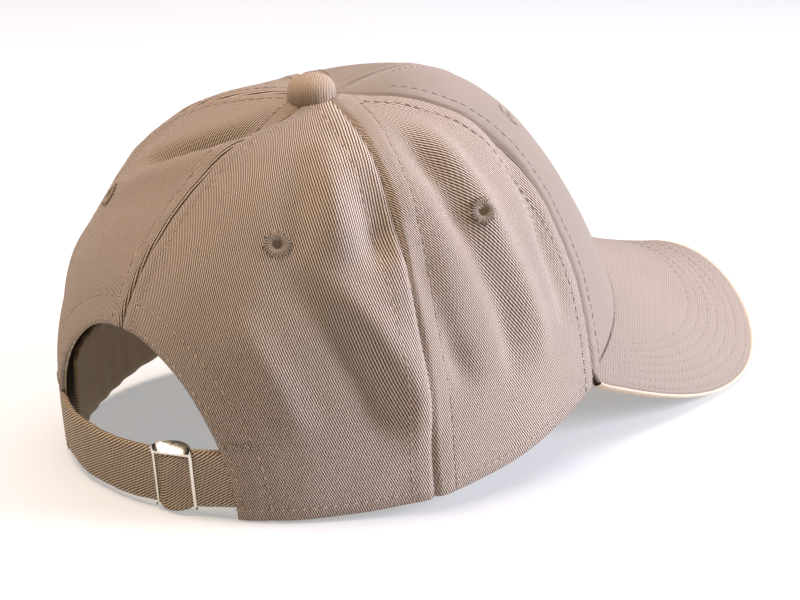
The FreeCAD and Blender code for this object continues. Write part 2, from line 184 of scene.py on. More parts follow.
seamLook = dict(
    groove=1.1 * mm, grooveWide=0.8 * mm, allowance=6.0 * mm, puff=0.35 * mm,
    stitchAt=5.4 * mm, stitchDent=0.35 * mm, stitchWide=0.8 * mm,
    pucker=0.18 * mm, puckerAt=4.0 * mm, puckerWide=3.6 * mm, puckerTurns=(690, 251),
    archRows=(1.6 * mm, 8.2 * mm), archDent=0.25 * mm, archDentWide=0.7 * mm,
    archFold=0.5 * mm, archFoldWide=0.8 * mm,
)
seamDirections = (0.0, crown["seamFront"], crown["seamRear"], 180.0, -crown["seamRear"], -crown["seamFront"])
seams = dict(front=0, front_left=63, front_right=-63, rear_left=109, rear_right=-109, back=180)
sides = dict(left=1, right=-1)


def archDistance(spots):
    # About how far outside the back opening's edge a spot lies, seen along the cap.
    x, z = spots[..., 0], spots[..., 2] - arch["base"]
    wide, rise = arch["halfWidth"], arch["rise"]
    ratio = np.sqrt((x / wide) ** 2 + (z / rise) ** 2)
    slope = np.sqrt((x / wide ** 2) ** 2 + (z / rise ** 2) ** 2) / np.maximum(ratio, 1e-6)
    rounded = (ratio - 1) / np.maximum(slope, 1e-6)
    gap = np.where(z > 0, rounded, np.abs(x) - wide)
    return np.where(spots[..., 1] > 0.02, gap, 1.0)


def cloth(around, climb):
    # How far the worn cloth stands out from the smooth form.
    spots = smoothForm(around, climb)
    flat = spots.reshape(-1, 3)
    lift = np.zeros(len(flat))
    for start in range(0, len(creaseSpots), 24):
        part = slice(start, start + 24)
        away = ((flat[:, None, :] - creaseSpots[None, part, :]) ** 2).sum(-1)
        lift += (np.exp(-away / creaseWidths[part] ** 2) * creaseWeights[part]).sum(1)
    lift += (np.sin(flat @ waveTurns.T + wavePhases) * waveSizes).sum(1) * 0.6
    lift = lift.reshape(spots.shape[:-1])
    turn = np.cos(np.radians(around))
    lift = lift * np.clip(1.15 - 0.9 * np.clip(turn, 0, 1), 0.3, 1)  # the backed front panels stay smooth
    reach = np.hypot(spots[..., 0] - crown["lean"], spots[..., 1] - crown["setback"])
    lift = lift * np.clip(reach / 0.014, 0.2, 1)
    look = seamLook
    for seam in seamDirections:
        off = np.abs((np.asarray(around) - seam + 180) % 360 - 180)
        away = np.radians(off) * reach
        size = np.clip(reach / 0.02, 0.25, 1)
        lift = lift - size * look["groove"] * np.exp(-(away / look["grooveWide"]) ** 2)
        inside = np.clip((look["allowance"] + 1.2 * mm - away) / (1.6 * mm), 0, 1)
        lift = lift + size * look["puff"] * inside * inside * (3 - 2 * inside)
        beside = np.exp(-((away - look["stitchAt"]) / look["stitchWide"]) ** 2)
        lift = lift - size * look["stitchDent"] * beside
        fine, coarse = look["puckerTurns"]
        ruck = np.sin(spots[..., 2] * fine + seam) * np.sin(spots[..., 2] * coarse + 2 * seam)
        beside = np.exp(-((away - look["puckerAt"]) / look["puckerWide"]) ** 2)
        lift = lift + size * look["pucker"] * ruck * beside
    edge = archDistance(spots)
    lift = lift - look["archFold"] * np.exp(-(edge / look["archFoldWide"]) ** 2)
    for row in look["archRows"]:
        lift = lift - look["archDent"] * np.exp(-((edge - row) / look["archDentWide"]) ** 2)
    return lift


def wornForm(around, climb):
    around, climb = np.broadcast_arrays(np.asarray(around, float), np.asarray(climb, float))
    return smoothForm(around, climb) + outwardAt(smoothForm, around, climb) * cloth(around, climb)[..., None]


def crownSpot(around, climb, inset=0.0):
    around, climb = np.broadcast_arrays(np.asarray(around, float), np.asarray(climb, float))
    return wornForm(around, climb) - outwardAt(smoothForm, around, climb) * inset


# Making pieces.
def linear(hexColour):
    channels = [int(hexColour[i:i + 2], 16) / 255 for i in (1, 3, 5)]
    return [c / 12.92 if c <= 0.04045 else ((c + 0.055) / 1.055) ** 2.4 for c in channels] + [1.0]


def finishPiece(bm, name, body, material, replaced=(), place=toRest, cut=None, thick=None):
    # cut is the width, length and area of the cloth before it was sewn, in metres; it is not used. thick goes
    # inwards.
    bm.transform(place)
    mesh = bpy.data.meshes.new(name)
    bm.to_mesh(mesh)
    bm.free()
    mesh.shade_smooth()
    piece = bpy.data.objects.new(name, mesh)
    scene.collection.objects.link(piece)
    mesh.materials.append(material)
    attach(piece, body)
    if replaced:
        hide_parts(*replaced)
    if thick:
        wall = piece.modifiers.new("cloth thickness", "SOLIDIFY")
        wall.thickness = thick
        wall.offset = -1.0
        wall.use_even_offset = False


def gridPiece(columns, rows, shape, weave, grain, cut=None, closer=1.0, flip=False):
    # A grid whose corners (s, t) in 0 to 1 are laid on shape(s, t) with weave coordinates in metres.
    bm = bmesh.new()
    bmesh.ops.create_grid(bm, x_segments=columns, y_segments=rows, size=0.5)
    bm.verts.ensure_lookup_table()
    st = np.array([v.co[:2] for v in bm.verts]) + 0.5
    spots = shape(st[:, 0], st[:, 1])
    if cut is not None:
        st, spots, gone = cut(bm, st, spots, shape)
    plan = weave(st[:, 0], st[:, 1]) * closer
    turn = math.radians(grain)
    turned = np.stack([
        plan[:, 0] * math.cos(turn) - plan[:, 1] * math.sin(turn),
        plan[:, 0] * math.sin(turn) + plan[:, 1] * math.cos(turn),
    ], -1)
    for vert, spot in zip(bm.verts, spots):
        vert.co = spot
    uv = bm.loops.layers.uv.new("weave")
    for face in bm.faces:
        for loop in face.loops:
            loop[uv].uv = turned[loop.vert.index]
    if cut is not None:
        bmesh.ops.delete(bm, geom=[bm.faces[i] for i in gone], context="FACES")
    if flip:
        bmesh.ops.reverse_faces(bm, faces=bm.faces)
    return bm


def cutTo(measure):
    # Trims a grid to where measure(spots) > 0: corners just inside are drawn to the edge, and the rest goes.
    def cut(bm, st, spots, shape):
        bm.faces.ensure_lookup_table()
        value = measure(spots)
        moved = {}
        gone = []
        for face in bm.faces:
            marks = [v.index for v in face.verts]
            good = [i for i in marks if value[i] > 0]
            if not good:
                gone.append(face.index)
                continue
            for i in marks:
                if value[i] <= 0 and i not in moved:
                    near = min(good, key=lambda g: abs(st[g] - st[i]).sum() + 1e-4 * g / len(value))
                    moved[i] = near
        if moved:
            keys = np.array(list(moved))
            low, high = st[keys].copy(), st[np.array([moved[k] for k in keys])].copy()
            for _ in range(12):
                middle = (low + high) / 2
                inside = measure(shape(middle[:, 0], middle[:, 1])) <= 0
                low = np.where(inside[:, None], middle, low)
                high = np.where(inside[:, None], high, middle)
            st = st.copy()
            spots = spots.copy()
            st[keys] = (low + high) / 2
            spots[keys] = shape(st[keys][:, 0], st[keys][:, 1])
        return st, spots, gone
    return cut


def addStitches(bm, line, outward, wide=0.5 * mm, long=2.5 * mm, gap=0.7 * mm, lift=0.1 * mm):
    # Small rounded stitches laid end to end along a line of points.
    steps = np.linalg.norm(np.diff(line, axis=0), axis=1)
    run = np.concatenate([[0], np.cumsum(steps)])
    count = max(int(run[-1] / (long + gap)), 1)
    pitch = run[-1] / count
    for i in range(count):
        ends = []
        for place in (i * pitch + 0.5 * (pitch - long), i * pitch + 0.5 * (pitch + long)):
            ends.append(Vector([np.interp(place, run, line[:, k]) for k in range(3)]))
        up = Vector([np.interp((i + 0.5) * pitch, run, outward[:, k]) for k in range(3)]).normalized()
        along = (ends[1] - ends[0]).normalized()
        across = up.cross(along).normalized()
        up = along.cross(across)
        spot = Matrix.Translation((ends[0] + ends[1]) / 2 + up * lift)
        turn = Matrix((along, across, up)).transposed().to_4x4()
        size = Matrix.Diagonal(((ends[1] - ends[0]).length / 2, wide / 2, wide / 2, 1))
        bmesh.ops.create_icosphere(bm, subdivisions=1, radius=1.0, matrix=spot @ turn @ size)


# Materials.
def addNode(tree, kind, settings=None, links=None):
    node = tree.nodes.new(kind)
    for key, value in (settings or {}).items():
        if isinstance(key, int) or key in node.inputs:
            node.inputs[key].default_value = value
        else:
            setattr(node, key, value)
    for key, source in (links or {}).items():
        tree.links.new(source, node.inputs[key])
    return node


def startMaterial(name, **settings):
    material = bpy.data.materials.new(name)
    material.use_nodes = True
    tree = material.node_tree
    shader = tree.nodes["Principled BSDF"]
    for key, value in settings.items():
        shader.inputs[key.replace("_", " ")].default_value = value
    return material, tree, shader


def colourAndBump(tree, shader, factor, light, dark, strength, depth):
    # Joins one pattern to a surface: dark where it is low, light and raised where it is high.
    colour = addNode(tree, "ShaderNodeMix", {"data_type": "RGBA"}, {0: factor})
    colour.inputs[6].default_value = linear(dark)
    colour.inputs[7].default_value = linear(light)
    bump = addNode(tree, "ShaderNodeBump", {"Strength": strength, "Distance": depth}, {"Height": factor})
    tree.links.new(colour.outputs[2], shader.inputs["Base Color"])
    tree.links.new(bump.outputs["Normal"], shader.inputs["Normal"])


def cottonTwill(name, light, dark, ribPitch=0.75 * mm, bumpDepth=0.30 * mm):
    # Washed cotton twill, woven with steep ribs: matt, soft at the edges, with fine slanting lines.
    # The crests are painted lighter and the hollows browner: painted highlight and painted shade on the ribs. Ribs
    # stand 0.75 mm apart, yarns 0.9 mm.
    material, tree, shader = startMaterial(name, Roughness=0.88, Sheen_Weight=0.18, Sheen_Roughness=0.45)
    shader.inputs["Sheen Tint"].default_value = linear("#F3E6DF")
    shader.inputs["Specular IOR Level"].default_value = 0.25
    uv = addNode(tree, "ShaderNodeUVMap", {"uv_map": "weave"})
    wave = 0.1 * math.pi
    ribs = addNode(tree, "ShaderNodeTexWave", {
        "wave_type": "BANDS", "bands_direction": "X", "wave_profile": "SIN",
        "Scale": wave / ribPitch, "Distortion": 0.9, "Detail": 1.0, "Detail Scale": 0.5,
    }, {"Vector": uv.outputs["UV"]})
    yarns = addNode(tree, "ShaderNodeTexWave", {
        "wave_type": "BANDS", "bands_direction": "DIAGONAL", "wave_profile": "SIN",
        "Scale": wave / (0.9 * mm), "Distortion": 1.4, "Detail": 1.0, "Detail Scale": 0.7,
    }, {"Vector": uv.outputs["UV"]})
    fibres = addNode(tree, "ShaderNodeTexNoise", {"Scale": 1 / (0.7 * mm), "Detail": 3.0},
                     {"Vector": uv.outputs["UV"]})
    patches = addNode(tree, "ShaderNodeTexNoise", {"Scale": 1 / (18 * mm), "Detail": 2.0},
                      {"Vector": uv.outputs["UV"]})
    height = addNode(tree, "ShaderNodeMath", {"operation": "MULTIPLY_ADD", 1: 0.25},
                     {0: yarns.outputs["Fac"], 2: ribs.outputs["Fac"]})
    rough = addNode(tree, "ShaderNodeMath", {"operation": "MULTIPLY_ADD", 1: 0.45},
                    {0: fibres.outputs["Fac"], 2: height.outputs[0]})
    # The rib height picks the colour: painted shade in the hollows, painted highlight on the crests.
    blend = addNode(tree, "ShaderNodeMapRange", {"From Min": 0.52, "From Max": 1.22},
                    {"Value": rough.outputs[0]})
    colour = addNode(tree, "ShaderNodeMix", {"data_type": "RGBA", "blend_type": "MIX"},
                     {0: blend.outputs["Result"]})
    colour.inputs[6].default_value = linear(dark)
    colour.inputs[7].default_value = linear(light)
    fade = addNode(tree, "ShaderNodeMapRange", {"To Min": 0.94, "To Max": 1.04},
                   {"Value": patches.outputs["Fac"]})
    tone = addNode(tree, "ShaderNodeHueSaturation", {},
                   {"Color": colour.outputs[2], "Value": fade.outputs["Result"]})
    bump = addNode(tree, "ShaderNodeBump", {"Strength": 0.8, "Distance": bumpDepth},
                   {"Height": rough.outputs[0]})
    tree.links.new(tone.outputs["Color"], shader.inputs["Base Color"])
    tree.links.new(bump.outputs["Normal"], shader.inputs["Normal"])
    return material


def spunThread(name, light, dark):
    # Polyester sewing thread, twisted: a faint gloss along each stitch, and fine diagonal plies.
    material, tree, shader = startMaterial(name, Roughness=0.6, Sheen_Weight=0.1)
    place = addNode(tree, "ShaderNodeTexCoord")
    plies = addNode(tree, "ShaderNodeTexWave", {
        "bands_direction": "DIAGONAL", "Scale": 0.1 * math.pi / (0.5 * mm), "Distortion": 1.0,
    }, {"Vector": place.outputs["Object"]})
    colourAndBump(tree, shader, plies.outputs["Fac"], light, dark, 0.4, 0.1 * mm)
    return material


def platedNickel(name):
    # Polished nickel plate on pressed steel: bright and slightly warm, with faint rubbing marks.
    material, tree, shader = startMaterial(name, Metallic=1.0, Roughness=0.2)
    place = addNode(tree, "ShaderNodeTexCoord")
    rubs = addNode(tree, "ShaderNodeTexNoise", {"Scale": 1 / (1.2 * mm), "Detail": 4.0},
                   {"Vector": place.outputs["Object"]})
    gloss = addNode(tree, "ShaderNodeMapRange", {"To Min": 0.12, "To Max": 0.32},
                    {"Value": rubs.outputs["Fac"]})
    tree.links.new(gloss.outputs["Result"], shader.inputs["Roughness"])
    colourAndBump(tree, shader, rubs.outputs["Fac"], "#E4DFD4", "#C9C4BA", 0.08, 0.05 * mm)
    return material


def mouldedBoard(name):
    # Moulded polyethylene visor board: waxy, slightly see-through white, with a fine moulded grain.
    material, tree, shader = startMaterial(name, Roughness=0.5, IOR=1.51)
    place = addNode(tree, "ShaderNodeTexCoord")
    grain = addNode(tree, "ShaderNodeTexNoise", {"Scale": 1 / (0.8 * mm), "Detail": 2.0},
                    {"Vector": place.outputs["Object"]})
    colourAndBump(tree, shader, grain.outputs["Fac"], "#F0EDE6", "#D8D4CA", 0.2, 0.1 * mm)
    return material


def wovenTape(name, light, dark, pitch=1.2 * mm):
    # Plain-woven backing cloth: a small square grid of threads, quite matt.
    material, tree, shader = startMaterial(name, Roughness=0.9)
    shader.inputs["Specular IOR Level"].default_value = 0.25
    uv = addNode(tree, "ShaderNodeUVMap", {"uv_map": "weave"})
    warp, weft = (addNode(tree, "ShaderNodeTexWave", {
        "bands_direction": way, "Scale": 0.1 * math.pi / pitch, "Distortion": 0.6,
    }, {"Vector": uv.outputs["UV"]}) for way in "XY")
    height = addNode(tree, "ShaderNodeMath", {"operation": "MULTIPLY"},
                     {0: warp.outputs["Fac"], 1: weft.outputs["Fac"]})
    colourAndBump(tree, shader, height.outputs[0], light, dark, 0.5, 0.25 * mm)
    return material


# The light and dark colours of each twill are its rib crests and hollows: painted highlight and painted shade.
twill = cottonTwill("washed cotton twill, khaki", "#D2BBA5", "#46372E")
# A darker copy of the same cloth for the strongly lit front panels and visor: painted shade. Its shallow ribs are
# real, as the cloth there is pressed smooth.
twillSmoothDarkened = cottonTwill("washed cotton twill, pressed smooth, painted darker", "#8F7F6F", "#837363", bumpDepth=0.12 * mm)
twillButton = cottonTwill("washed cotton twill, drawn tight", "#A9937D", "#927C67", bumpDepth=0.15 * mm)
# A browner copy of the twill for the strap and its loop, which sit low at the back in shade: painted shade.
twillShade = cottonTwill("washed cotton twill, browner shaded copy", "#CDB79D", "#4E3E2C")
twillInside = cottonTwill("cotton twill, reverse side", "#DCCBAA", "#B9A684", bumpDepth=0.2 * mm)
thread = spunThread("spun polyester thread, khaki", "#C3AE97", "#8C7860")
eyeletThread = spunThread("spun polyester thread, grey khaki", "#A99783", "#6F6150")
paleThread = spunThread("spun polyester thread, pale khaki", "#9C8C7E", "#7F6F61")
paleEdge = cottonTwill("folded twill edge, pale", "#DCC9B0", "#BFA98E", bumpDepth=0.15 * mm)
nickel = platedNickel("polished nickel plate")
boardPlastic = mouldedBoard("moulded polyethylene")
backing = wovenTape("fused buckram, off white", "#E9E4D8", "#BDB4A2")
tape = wovenTape("woven seam tape, tan", "#C8AF90", "#927B5E")
band = cottonTwill("sweatband twill, tan", "#BBA58A", "#8C755A", bumpDepth=0.15 * mm)
print("materials ready")


# The six panels.
panelLook = dict(columns=84, rows=140, edgeEase=0.8, eyeletHole=1.9 * mm, rearCloser=1.18)
panels = {
    "front": dict(span=(0.0, 63.0), eyelet=(36.5, 79)),
    "side": dict(span=(63.0, 109.0), eyelet=(87.0, 80.4)),
    "rear": dict(span=(109.0, 180.0), eyelet=(140.5, 81)),
}
panelGrain = {
    "front_left": 34, "front_right": 34, "side_left": 28, "side_right": 28, "rear_left": 23, "rear_right": 24,
}


def eased(s):
    # Draws grid lines closer together towards both sides of a panel.
    bend = panelLook["edgeEase"] * math.pi / 2
    return 0.5 + 0.5 * np.sin((2 * s - 1) * bend) / math.sin(bend)


def rising(t):
    # Draws rows closer together towards the top, where the front of the crown lies almost flat.
    return 1 - (1 - t) ** 1.35


def eyeletSpot(side, name):
    around, height = panels[name]["eyelet"]
    around = around * side
    climb = climbAt(np.array(around), height * mm)
    spot = crownSpot(np.array([around]), np.array([climb]))[0]
    out = outwardAt(wornForm, np.array([around]), np.array([climb]))[0]
    return Vector(spot), Vector(out)


def panelShape(near, far, side, inset=0.0):
    def shape(s, t):
        around = side * (near + (far - near) * eased(s))
        return crownSpot(around, rising(t) * topClimb(around), inset)
    return shape


def panelWeave(near, far, side):
    # Lays a panel out flat: metres up its middle line, and metres out from it at each height.
    climbs = np.linspace(0, 0.998, 80)
    middle = smoothForm(side * (near + far) / 2, climbs)
    rise = np.concatenate([[0], np.cumsum(np.linalg.norm(np.diff(middle, axis=0), axis=1))])
    halves = []
    for climb in climbs:
        lane = smoothForm(side * np.linspace(near, far, 24), climb)
        halves.append(np.linalg.norm(np.diff(lane, axis=0), axis=1).sum() / 2)

    def weave(s, t):
        climb = rising(t) * topClimb(side * (near + (far - near) * eased(s)))
        half = np.interp(climb, climbs, halves)
        return np.stack([(2 * eased(s) - 1) * half * side * -1, np.interp(climb, climbs, rise)], -1)
    return weave


panelCuts = {
    "front_left": (0.104, 0.163, 0.0102), "front_right": (0.102, 0.153, 0.0096),
    "side_left": (0.087, 0.164, 0.0102), "side_right": (0.0865, 0.1445, 0.0094),
    "rear_left": (0.093, 0.170, 0.0099), "rear_right": (0.092, 0.160, 0.0094),
}
for sideName, side in sides.items():
    for name, facts in panels.items():
        near, far = facts["span"]
        hole, _ = eyeletSpot(side, name)

        def keep(spots, hole=np.array(hole), rear=name == "rear"):
            value = np.linalg.norm(spots - hole, axis=-1) - panelLook["eyeletHole"]
            return np.minimum(value, archDistance(spots)) if rear else value

        key = f"{name}_{sideName}"
        bm = gridPiece(panelLook["columns"], panelLook["rows"], panelShape(near, far, side),
                       panelWeave(near, far, side), panelGrain[key], cutTo(keep),
                       panelLook["rearCloser"] if name == "rear" else 1.0, flip=side < 0)
        node = f"{name}_panel_{sideName}"
        # The front panels take the darker copy of the twill: painted shade.
        finishPiece(bm, f"twill_{node}", "cap", twillSmoothDarkened if name == "front" else twill, [node],
                    cut=panelCuts[key], thick=crown["cloth"])
print("panels ready")

# Topstitching along the seams and round the back opening.
def seamLine(seam, off, low, high, count=70):
    climbs = np.linspace(low, high, count)
    base = smoothForm(seam, climbs)
    reach = np.hypot(base[:, 0] - crown["lean"], base[:, 1] - crown["setback"])
    around = seam + np.degrees(off / np.maximum(reach, 4 * mm))
    return crownSpot(around, climbs), outwardAt(smoothForm, around, climbs)


for label, seam in seams.items():
    bm = bmesh.new()
    for way in (-1, 1):
        low = 0.0 if label != "back" else 0.2
        line, out = seamLine(seam, way * seamLook["stitchAt"], low, 0.93)
        if label == "back":
            clear = archDistance(line) > 1.5 * mm
            line, out = line[clear], out[clear]
        addStitches(bm, line, out, wide=0.42 * mm)
    finishPiece(bm, f"topstitch_{label}", "cap", paleThread if "front" in label else thread)


def archLine(off, count=120):
    # Follows the back opening at a distance outside its edge, from one hem corner to the other.
    turns = np.linspace(-0.5 * math.pi, 0.5 * math.pi, count)
    wide, rise = arch["halfWidth"] + off, arch["rise"] + off
    x = wide * np.sin(turns)
    z = arch["base"] + rise * np.cos(turns)
    return x, z


def crownBehind(x, z):
    # The place on the rear of the crown with this width and height, found by narrowing in.
    around = 180 - np.degrees(np.arcsin(np.clip(x / crown["halfWidth"], -0.95, 0.95)))
    climb = np.full_like(around, 0.3)
    for _ in range(25):
        height = z - hemHeight(around)
        climb = climbAt(around, np.maximum(height, 0.00001))
        here = smoothForm(around, climb)
        around = around - np.degrees((x - here[:, 0]) / 0.075) * 0.7
    return crownSpot(around, climb), around, climb


bm = bmesh.new()
for row in seamLook["archRows"]:
    x, z = archLine(row)
    line, around, climb = crownBehind(x, z)
    addStitches(bm, line, outwardAt(smoothForm, around, climb), wide=0.45 * mm)
finishPiece(bm, "topstitch_opening", "cap", thread)

bm = bmesh.new()
around = np.linspace(-150, 150, 220)
hemClimb = climbAt(around, np.full_like(around, 3.5 * mm))
addStitches(bm, crownSpot(around, hemClimb), outwardAt(smoothForm, around, hemClimb), wide=0.4 * mm)
finishPiece(bm, "topstitch_hem", "cap", thread)
print("stitching ready")

# Sewn eyelets.
eyeletLook = dict(strands=26, inner=1.6 * mm, outer=4.3 * mm, wide=0.72 * mm, tall=0.95 * mm,
                  turned=12, turnedAt=1.75 * mm, turnedSize=(0.35 * mm, 0.55 * mm, 0.55 * mm))
for sideName, side in sides.items():
    for name in panels:
        bm = bmesh.new()
        spot, out = eyeletSpot(side, name)
        place = Matrix.Translation(spot - out * 0.35 * mm) @ out.to_track_quat("Z", "Y").to_matrix().to_4x4()
        jitter = np.random.default_rng(11 + len(name) + side)
        for i in range(eyeletLook["strands"]):
            turn = Matrix.Rotation(2 * math.pi * i / eyeletLook["strands"], 4, "Z")
            long = (eyeletLook["outer"] - eyeletLook["inner"]) * (1 + 0.10 * jitter.normal())
            middle = Matrix.Translation((eyeletLook["inner"] + long / 2, 0, 0.3 * mm))
            size = Matrix.Diagonal((long / 2, eyeletLook["wide"] / 2, eyeletLook["tall"] / 2, 1))
            bmesh.ops.create_icosphere(bm, subdivisions=2, radius=1, matrix=place @ turn @ middle @ size)
        for i in range(eyeletLook["turned"]):
            turn = Matrix.Rotation(2 * math.pi * i / eyeletLook["turned"], 4, "Z")
            middle = Matrix.Translation((eyeletLook["turnedAt"], 0, -0.1 * mm))
            size = Matrix.Diagonal((*eyeletLook["turnedSize"], 1))
            bmesh.ops.create_icosphere(bm, subdivisions=1, radius=1, matrix=place @ turn @ middle @ size)
        node = f"eyelet_{name}_{sideName}"
        finishPiece(bm, f"sewn_{node}", "cap", eyeletThread, [node])

# Fabric button.
buttonLook = dict(radius=7.7 * mm, tall=6.4 * mm, rings=24, sides=64, square=2.5,
                  shift=(3.0 * mm, 2.4 * mm, 0.4 * mm))
top = Vector((crown["lean"], crown["setback"], crown["top"] - 0.2 * mm)) + Vector(buttonLook["shift"])
bm = bmesh.new()
bmesh.ops.create_uvsphere(bm, u_segments=buttonLook["sides"], v_segments=buttonLook["rings"], radius=1.0)
bmesh.ops.bisect_plane(bm, geom=bm.verts[:] + bm.edges[:] + bm.faces[:], plane_co=(0, 0, -0.3),
                       plane_no=(0, 0, -1), clear_outer=True)
for vert in bm.verts:
    turn = math.atan2(vert.co.y, vert.co.x)
    low = max(0.0, 1 - (vert.co.z + 0.3) / 0.8)
    gather = 1 + 0.018 * low * math.sin(15 * turn) + 0.012 * low * math.sin(9 * turn + 1)
    flat = max(1 - abs(vert.co.z) ** buttonLook["square"], 0) ** (1 / buttonLook["square"]) * gather
    vert.co = top + Vector((
        buttonLook["radius"] * flat * math.cos(turn),
        buttonLook["radius"] * flat * math.sin(turn),
        buttonLook["tall"] * vert.co.z,
    ))
uv = bm.loops.layers.uv.new("weave")
for face in bm.faces:
    for loop in face.loops:
        off = loop.vert.co - top
        loop[uv].uv = (off.x * 0.8 + off.y * 0.6, off.y * 0.8 - off.x * 0.6)
finishPiece(bm, "fabric_button", "cap", twillButton, ["button_cover", "button_shell"])

# Visor.
def visorPlan(across, out):
    around = across * crown["seamFront"]
    root = smoothForm(around, 0)
    root = root * (1 - visor["tuck"] / np.linalg.norm(root[..., :2], axis=-1, keepdims=True))
    corner = smoothForm(crown["seamFront"], 0)
    cornerAngle = math.pi - math.asin(corner[0] / visor["halfWidth"])
    angle = across * cornerAngle
    sine, cosine = np.sin(angle), np.cos(angle)
    back = np.abs(angle) > math.pi / 2
    squared = visor["halfWidth"] * np.sign(across) * np.abs(sine) ** visor["squareness"]
    x = np.where(back, visor["halfWidth"] * sine, squared)
    longBack = (visor["middle"] + corner[1]) / abs(math.cos(cornerAngle))
    longFront = crown["front"] + visor["long"] - visor["middle"]
    forward = np.where(back, visor["middle"] + longBack * cosine,
                       visor["middle"] + longFront * np.abs(cosine) ** visor["squareness"])
    return root[..., 0] + (x - root[..., 0]) * out, -root[..., 1] + (forward + root[..., 1]) * out


def visorSpot(across, out, lift):
    x, forward = visorPlan(across, out)
    normal = np.stack([x / visor["archRadius"], np.full_like(x, -visor["slope"]), np.ones_like(x)], -1)
    normal = normal / np.linalg.norm(normal, axis=-1, keepdims=True)
    return np.stack([x, -forward, visorHeight(x, forward)], -1) + normal * np.asarray(lift)[..., None]


visorLook = dict(columns=150, rows=62, stitchRows=(3.0, 8.0, 12.6, 17.2, 21.8, 26.4, 31.0),
                 dent=0.22 * mm, shy=0.998)


def visorEdgeDistance(across, out):
    x, forward = visorPlan(across, out)
    rim = visorPlan(across, np.ones_like(out))
    return np.hypot(rim[0] - x, rim[1] - forward)


def visorShape(base, swell):
    def shape(s, t):
        across, out = (2 * s - 1) * visorLook["shy"], t
        edge = visorEdgeDistance(across, out)
        lift = np.full_like(s, base)
        for row in visorLook["stitchRows"]:
            lift = lift - swell * visorLook["dent"] * np.exp(-((edge - row * mm) / (0.7 * mm)) ** 2)
        roll = np.clip(1 - edge / (1.8 * mm), 0, 1)
        lift = lift - swell * 0.9 * mm * roll ** 2
        return visorSpot(across, out, lift)
    return shape


def visorWeave(s, t):
    x, forward = visorPlan(2 * s - 1, t)
    return np.stack([x, forward], -1)


topLift = visor["board"] / 2 + visor["gap"] + visor["cover"]
visorCuts = dict(top=(0.171, 0.1745, 0.0162), under=(0.168, 0.171, 0.0156))
# The visor covers take the darker copy of the twill: painted shade.
for label, way in (("top", 1), ("under", -1)):
    bm = gridPiece(visorLook["columns"], visorLook["rows"], visorShape(way * topLift, way), visorWeave,
                   way * 35, flip=way > 0)
    finishPiece(bm, f"twill_visor_{label}", "cap", twillSmoothDarkened, [f"visor_{label}_cover"],
                cut=visorCuts[label], thick=visor["cover"])


def boardShape(s, t):
    return visorSpot((2 * s - 1) * 0.97, 0.03 + 0.935 * t, np.full_like(s, visor["board"] / 2))


bm = gridPiece(90, 30, boardShape, visorWeave, 0, flip=True)
finishPiece(bm, "moulded_visor_board", "cap", boardPlastic, ["visor_board"], thick=visor["board"])


def edgeShape(s, t):
    # A half-round band wrapped over the visor's outer edge, s along the edge and t round the band.
    across = (2 * s - 1) * 0.996
    turn = (t - 0.5) * math.radians(250)
    x, forward = visorPlan(across, np.ones_like(across))
    ahead = visorPlan(across + 0.004, np.ones_like(across))
    behind = visorPlan(across - 0.004, np.ones_like(across))
    dx, df = ahead[0] - behind[0], ahead[1] - behind[1]
    size = np.maximum(np.hypot(dx, df), 1e-9)
    outX, outF = -df / size, dx / size
    flip = np.sign(outF + 1e-9)
    outX, outF = outX * flip, outF * flip
    swap = (np.abs(outF) < 0.15) & (outX * x < 0)
    outX, outF = np.where(swap, -outX, outX), np.where(swap, -outF, outF)
    thick = topLift + 0.15 * mm
    reach = (np.cos(turn) - 0.25) * thick * 0.75
    spot = visorSpot(across, np.ones_like(across), thick * np.sin(turn))
    return spot + np.stack([outX * reach, -outF * reach, np.zeros_like(reach)], -1)


bm = gridPiece(260, 10, edgeShape, lambda s, t: np.stack([s * 0.3, t * 0.006], -1), 35)
bmesh.ops.recalc_face_normals(bm, faces=bm.faces)
finishPiece(bm, "visor_edge_band", "cap", paleEdge, cut=(0.010, 0.371, 0.0028))

bm = bmesh.new()
for row in visorLook["stitchRows"]:
    across = np.linspace(-0.985, 0.985, 240)
    longs = visorEdgeDistance(across, np.zeros_like(across))
    out = np.clip(1 - row * mm / np.maximum(longs, 1e-4), 0.02, 1)
    keep = longs > row * mm + 2 * mm
    line = visorShape(topLift, 1)((across / visorLook["shy"] + 1) / 2, out)
    under = visorShape(-topLift, -1)((across / visorLook["shy"] + 1) / 2, out)
    up = np.tile(np.array([[0, -0.2, 1.0]]), (len(across), 1))
    addStitches(bm, line[keep], up[keep], wide=0.42 * mm, long=2.6 * mm)
    addStitches(bm, under[keep], -up[keep], wide=0.42 * mm, long=2.6 * mm)
finishPiece(bm, "topstitch_visor", "cap", paleThread)
print("visor ready")

# Inside: facings, tapes, buckram, sweatband.
def stripShape(around, climb, inset):
    def shape(s, t):
        return crownSpot(around(s, t), climb(s, t), inset)
    return shape


behindPanel = crown["cloth"] + 0.2 * mm
facingLook = dict(start=126, span=54, climb=0.62, wide=9 * mm, thick=0.7 * mm)
for sideName, side in sides.items():
    def facingKeep(spots):
        edge = archDistance(spots)
        return np.minimum(edge - 0.1 * mm, facingLook["wide"] - edge)
    shape = stripShape(lambda s, t: side * (facingLook["start"] + facingLook["span"] * s),
                       lambda s, t: t * facingLook["climb"], behindPanel)
    bm = gridPiece(70, 90, shape, lambda s, t: np.stack([s * 0.06, t * 0.08], -1), 20, cutTo(facingKeep),
                   flip=side < 0)
    finishPiece(bm, f"facing_{sideName}", "cap", twillInside, [f"opening_facing_{sideName}"],
                cut=(0.024, 0.083, 0.0009), thick=facingLook["thick"])

